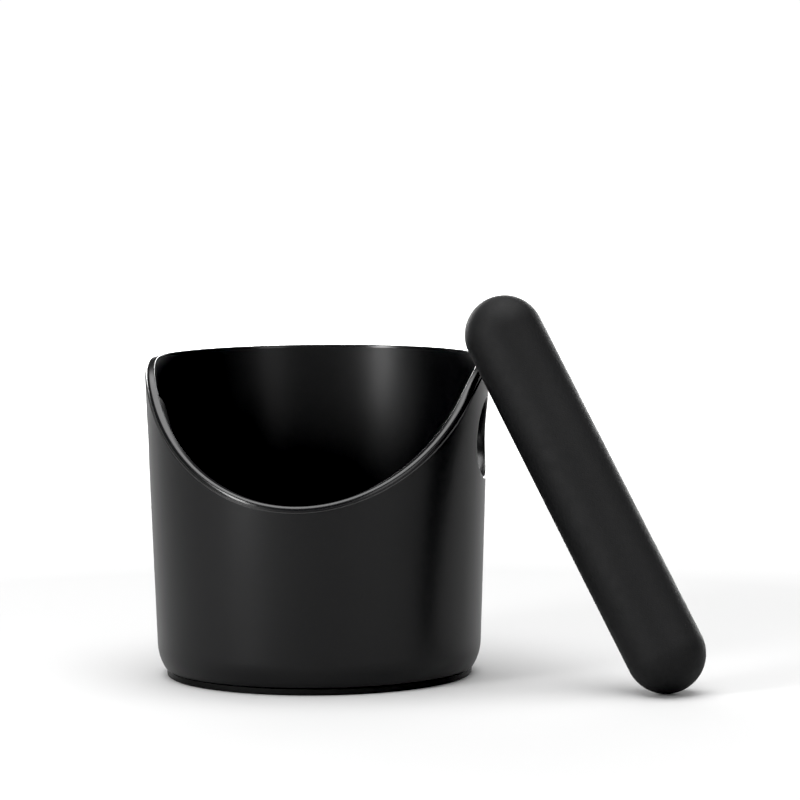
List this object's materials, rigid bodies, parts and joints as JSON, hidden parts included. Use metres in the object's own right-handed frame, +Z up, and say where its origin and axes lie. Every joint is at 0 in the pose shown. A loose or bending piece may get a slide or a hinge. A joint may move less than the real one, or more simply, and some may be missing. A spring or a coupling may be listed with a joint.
{
  "type": "espresso knock box",
  "caption": "Cup-shaped knock box with a mouth swept down at the front, side sockets, a rubber base pad and a rubber-covered knock bar leaning on its edge.",
  "frame": {"origin": "centre of the base pad's underside, on the table", "axes": "+Z up; -Y is the front, where the mouth is swept down; the bar sockets lie along X; the loose bar leans on the +X side"},
  "size_m": [0.2128, 0.128, 0.1437],
  "materials": {
    "box_abs": "satin moulded ABS with a very fine grain",
    "pad_rubber": "matte soft rubber",
    "bar_rubber": "matte overmoulded rubber, slightly dusty",
    "core_steel": "drawn tube",
    "plug_nylon": "moulded"
  },
  "bodies": {
    "box": {"box_body": "box_abs", "base_pad": "pad_rubber"},
    "knock_bar": {"bar_sleeve": "bar_rubber", "bar_core_tube": "core_steel", "bar_foot_plug": "plug_nylon", "bar_top_plug": "plug_nylon"}
  },
  "joints": [
    {"name": "bar_tip", "type": "hinge", "parent": "box", "child": "knock_bar", "pos_m": [0.1332, -0.043, 0.01475], "axis": [0.4226, 0.9063, 0], "range_deg": [0, 120.5]}
  ]
}
